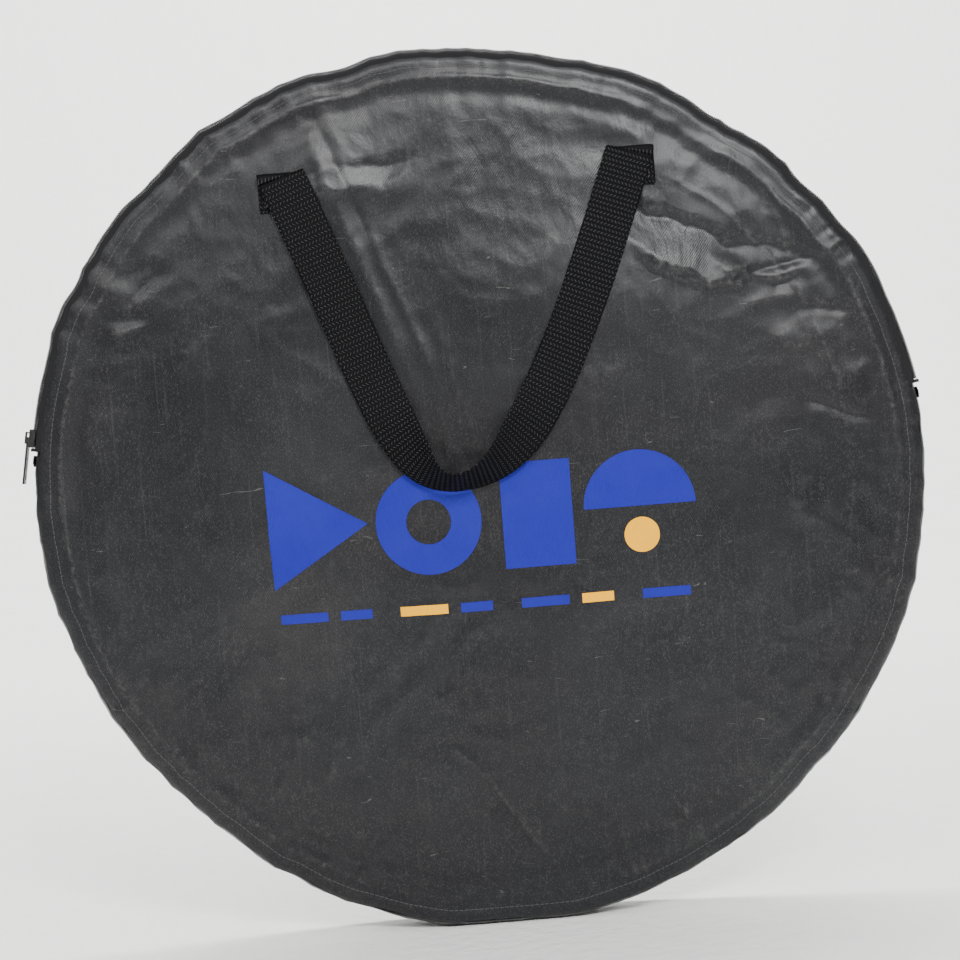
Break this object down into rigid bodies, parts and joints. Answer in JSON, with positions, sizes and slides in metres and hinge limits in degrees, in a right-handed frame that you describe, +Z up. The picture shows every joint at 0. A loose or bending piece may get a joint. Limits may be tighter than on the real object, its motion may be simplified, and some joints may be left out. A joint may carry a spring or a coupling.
{
  "type": "collapsible reflector disc in carry bag",
  "caption": "Collapsible reflector disc, twisted into flat coils inside a round zipped carry bag with a webbing handle.",
  "frame": {"origin": "middle of the flat that the standing bag presses into its lower rim", "axes": "+Z up; +Y from the printed front panel towards the back; +X to the right as seen from the front"},
  "size_m": [0.5653, 0.0839, 0.5581],
  "materials": {
    "bag_fabric": "coated twill, satin",
    "webbing": "coarse ribbed weave",
    "zip_tape": "herringbone tape",
    "zip_coil": "nylon coil",
    "zip_metal": "black enamel",
    "binding": "plain tape",
    "thread": "polyester thread",
    "print_ink": "screen-printed ink",
    "spring_steel": "blued spring steel",
    "crimp": "crimped tube",
    "silver_cloth": "metallised cloth, crinkled",
    "white_cloth": "matte cloth"
  },
  "bodies": {
    "bag": {"front_panel": "bag_fabric", "front_print": "print_ink", "zip_tape_front": "zip_tape", "zip_coil_front": "zip_coil", "zip_back_stub_left": "zip_tape", "zip_back_stub_right": "zip_tape", "zip_stop_left": "zip_metal", "zip_stop_right": "zip_metal", "tape_tail_left": "zip_tape", "tape_tail_right": "zip_tape", "rim_wall_lower": "bag_fabric", "back_panel_lower": "bag_fabric", "seam_binding_front": "binding", "seam_binding_back_lower": "binding", "handle_tab_left": "webbing", "handle_tab_right": "webbing", "handle_stitching": "thread"},
    "back_flap": {"back_panel_upper": "bag_fabric", "rim_wall_upper": "bag_fabric", "zip_tape_back": "zip_tape", "zip_coil_back": "zip_coil", "seam_binding_back_upper": "binding"},
    "carry_handle": {"carry_handle": "webbing"},
    "zip_slider": {"zip_slider": "zip_metal"},
    "pull_tab": {"pull_tab": "zip_metal"},
    "reflector": {"spring_hoop": "spring_steel", "hoop_sleeve": "crimp", "hoop_binding": "binding", "fabric_silver": "silver_cloth", "fabric_white": "white_cloth"}
  },
  "joints": [
    {"name": "reflector_lift", "type": "slide", "parent": "bag", "child": "reflector", "axis": [0, 0, 1], "range_m": [0, 0.3]},
    {"name": "back_flap_fold", "type": "hinge", "parent": "bag", "child": "back_flap", "pos_m": [0, 0.0243, 0.337], "axis": [-1, 0, 0], "range_deg": [0, 155]},
    {"name": "zip_slide", "type": "hinge", "parent": "bag", "child": "zip_slider", "pos_m": [0, -0.015, 0.277], "axis": [0, 1, 0], "range_deg": [0, 159.1]},
    {"name": "pull_tab_swing", "type": "hinge", "parent": "zip_slider", "child": "pull_tab", "pos_m": [-0.27949, -0.015, 0.32855], "axis": [0, 1, 0], "range_deg": [0, 170]},
    {"name": "handle_lift", "type": "hinge", "parent": "bag", "child": "carry_handle", "pos_m": [0, -0.028, 0.477], "axis": [-1, 0, 0], "range_deg": [0, 170]}
  ],
  "couplings": [
    {"joint": "back_flap_fold", "follows": "reflector_lift", "rad_per_m": 9.0174}
  ]
}
